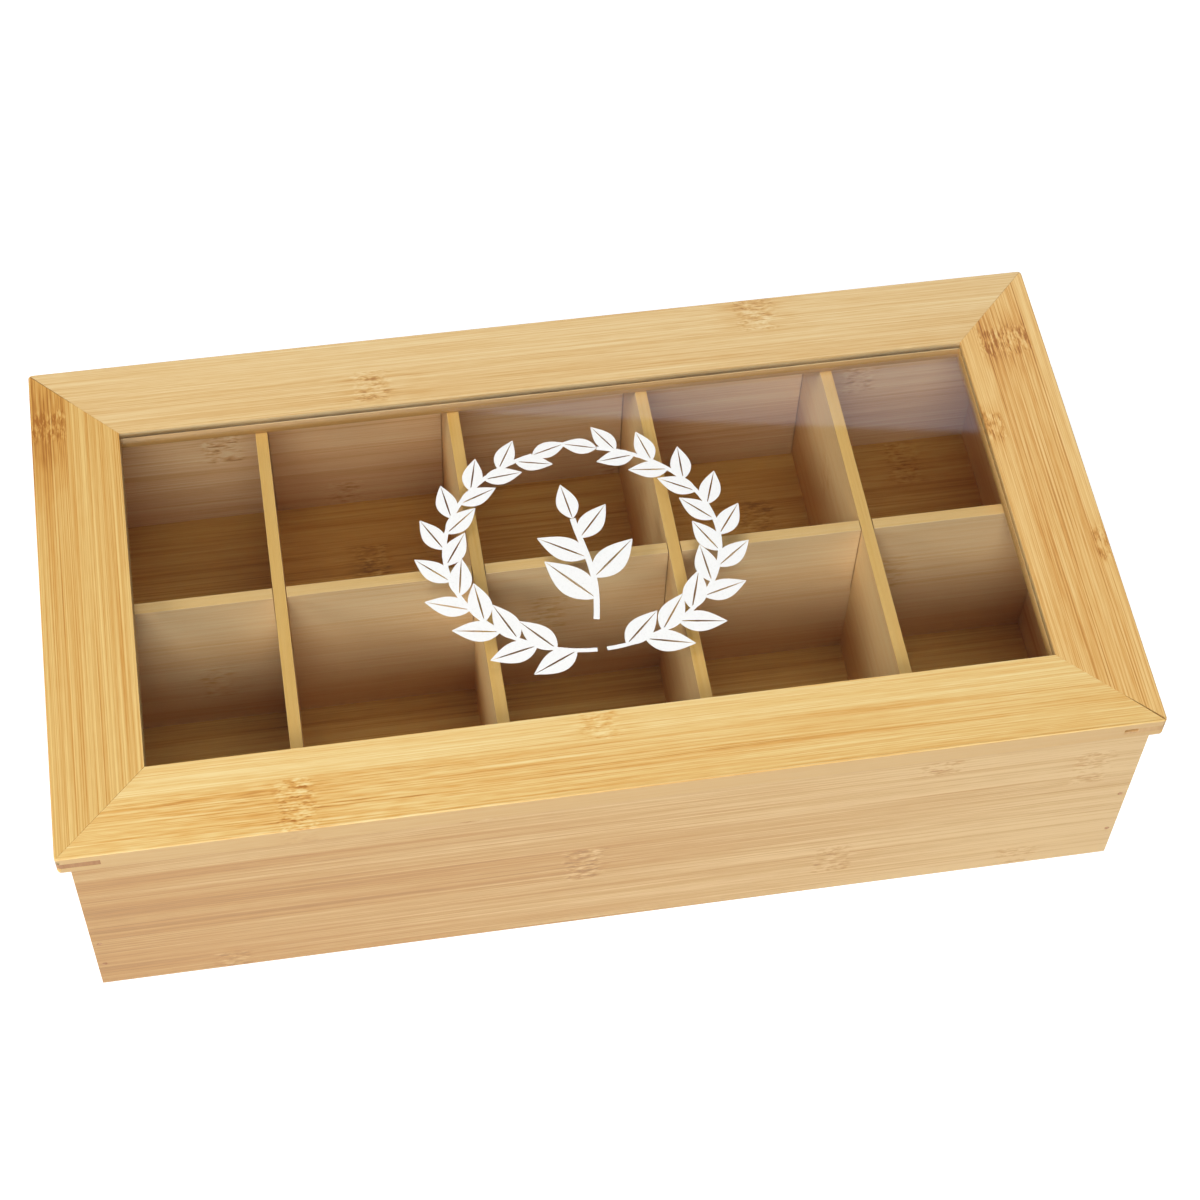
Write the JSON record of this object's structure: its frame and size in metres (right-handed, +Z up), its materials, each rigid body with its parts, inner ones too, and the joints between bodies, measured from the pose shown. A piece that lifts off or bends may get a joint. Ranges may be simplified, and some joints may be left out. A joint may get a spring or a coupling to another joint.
{
  "type": "tea bag organizer box",
  "caption": "Rectangular bamboo box split by lapped dividers into equal open compartments, under a hinged mitred lid frame with a clear pane.",
  "frame": {"origin": "under the centre of the closed lid, at the height of the walls' bottom edges", "axes": "+X to the right along the width, +Y from the front to the hinged back, +Z up"},
  "size_m": [0.36, 0.195, 0.09],
  "materials": {
    "bamboo_lid": "satin",
    "bamboo_box": "satin",
    "bamboo_divider": "satin",
    "bamboo_floor": "satin",
    "bamboo_key": "satin",
    "clear_acrylic": "clear gloss",
    "brass_hinge": "satin",
    "steel_brad": "satin"
  },
  "bodies": {
    "box": {"front_wall": "bamboo_box", "back_wall": "bamboo_box", "left_wall": "bamboo_box", "right_wall": "bamboo_box", "floor_panel": "bamboo_floor", "long_divider": "bamboo_divider", "cross_divider_1": "bamboo_divider", "cross_divider_2": "bamboo_divider", "cross_divider_3": "bamboo_divider", "cross_divider_4": "bamboo_divider", "front_brads": "steel_brad", "back_brads": "steel_brad", "box_leaf_left": "brass_hinge", "box_leaf_right": "brass_hinge", "hinge_pin_left": "brass_hinge", "hinge_pin_right": "brass_hinge", "box_screws_left": "brass_hinge", "box_screws_right": "brass_hinge"},
    "lid": {"lid_front_rail": "bamboo_lid", "lid_back_rail": "bamboo_lid", "lid_left_rail": "bamboo_lid", "lid_right_rail": "bamboo_lid", "lid_key_front_left": "bamboo_key", "lid_key_front_right": "bamboo_key", "lid_key_back_left": "bamboo_key", "lid_key_back_right": "bamboo_key", "clear_pane": "clear_acrylic", "lid_leaf_left": "brass_hinge", "lid_leaf_right": "brass_hinge", "lid_screws_left": "brass_hinge", "lid_screws_right": "brass_hinge"}
  },
  "joints": [
    {"name": "lid_hinge", "type": "hinge", "parent": "box", "child": "lid", "pos_m": [0, 0.0959, 0.0815], "axis": [-1, 0, 0], "range_deg": [0, 103]}
  ]
}
